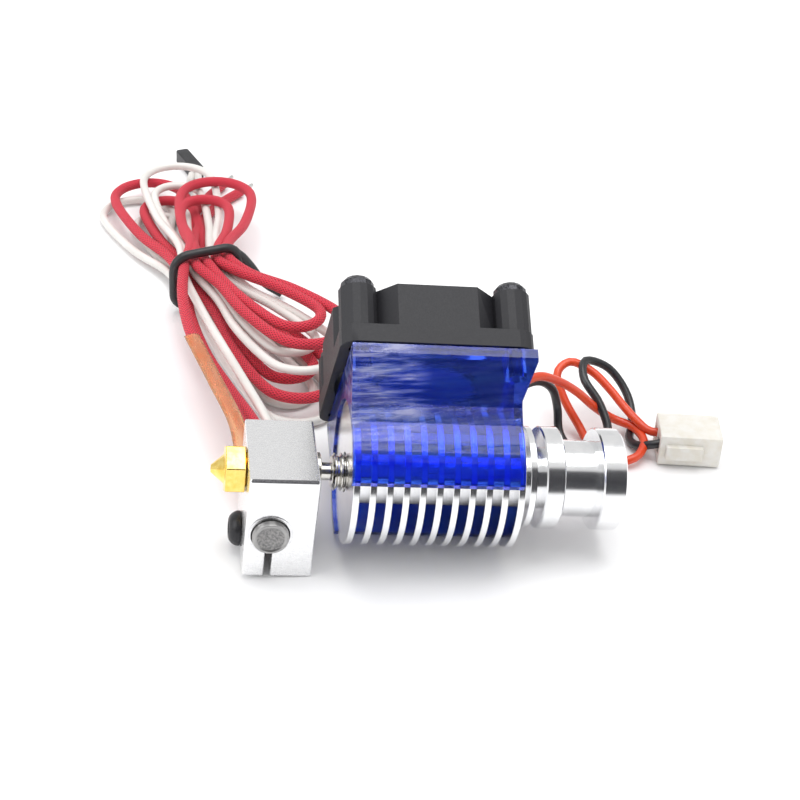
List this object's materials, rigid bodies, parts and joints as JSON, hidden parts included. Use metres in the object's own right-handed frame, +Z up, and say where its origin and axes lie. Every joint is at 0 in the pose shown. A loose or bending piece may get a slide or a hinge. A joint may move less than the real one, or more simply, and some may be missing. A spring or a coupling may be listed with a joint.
{
  "type": "3d printer hotend assembly",
  "caption": "3D printer hotend lying on its side: brass nozzle, clamped heater block, finned heatsink with groove mount, clip-on duct, small fan and tied leads.",
  "frame": {"origin": "centre of the underside of the assembly without its leads, on the surface that it lies on", "axes": "+Z up; +X along the hotend axis in plan, from the nozzle to the mounting flange; +Y to the back, where the fan leans"},
  "size_m": [0.0998, 0.1476, 0.0398],
  "materials": {
    "aluminium": "bright turned",
    "liner": "waxy",
    "heat_break": "turned",
    "heater_block": "satin milled",
    "nozzle": "turned",
    "heater_cartridge": "dull",
    "black_screw": "black oxide",
    "thermistor_bead": "potting cement",
    "fan_duct": "clear blue moulded plastic",
    "fan_frame": "fine moulded grain",
    "fan_rotor": "satin",
    "magnet": "dark",
    "shaft": "ground",
    "coil": "enamelled copper",
    "bearing": "sintered",
    "hub_label": "blank",
    "fan_screws": "black oxide",
    "red_lead": "smooth",
    "black_lead": "smooth",
    "red_braid": "woven glass sleeve",
    "white_lead": "smooth",
    "tie": "smooth",
    "plug": "moulded",
    "amber_sleeve": "translucent film",
    "connector": "moulded nylon",
    "terminal": "tin plated"
  },
  "bodies": {
    "hotend": {"heatsink": "aluminium", "liner_tube": "liner", "heat_break": "heat_break", "heater_block": "heater_block", "nozzle": "nozzle", "heater_cartridge": "heater_cartridge", "clamp_screw": "black_screw", "thermistor_bead": "thermistor_bead", "fan_duct": "fan_duct", "fan_frame": "fan_frame", "fan_stator_coil": "coil", "fan_bearing": "bearing", "fan_hub_label": "hub_label", "fan_screw_1": "fan_screws", "fan_screw_2": "fan_screws", "fan_screw_3": "fan_screws", "fan_screw_4": "fan_screws", "fan_lead_red": "red_lead", "fan_lead_black": "black_lead", "heater_lead_a": "red_braid", "heater_lead_b": "red_braid", "lead_hank": "red_braid", "sensor_lead_a": "white_lead", "sensor_lead_b": "white_lead", "hank_tie": "tie", "sensor_plug": "plug", "amber_sleeve": "amber_sleeve", "connector_housing": "connector", "connector_terminal_1": "terminal", "connector_terminal_2": "terminal"},
    "rotor": {"fan_rotor": "fan_rotor", "fan_magnet_ring": "magnet", "fan_shaft": "shaft"}
  },
  "joints": [
    {"name": "fan_spin", "type": "hinge", "parent": "hotend", "child": "rotor", "pos_m": [0.00227, 0.00753, 0.02344], "axis": [0.0328, 0.8545, 0.5185], "continuous": true}
  ]
}
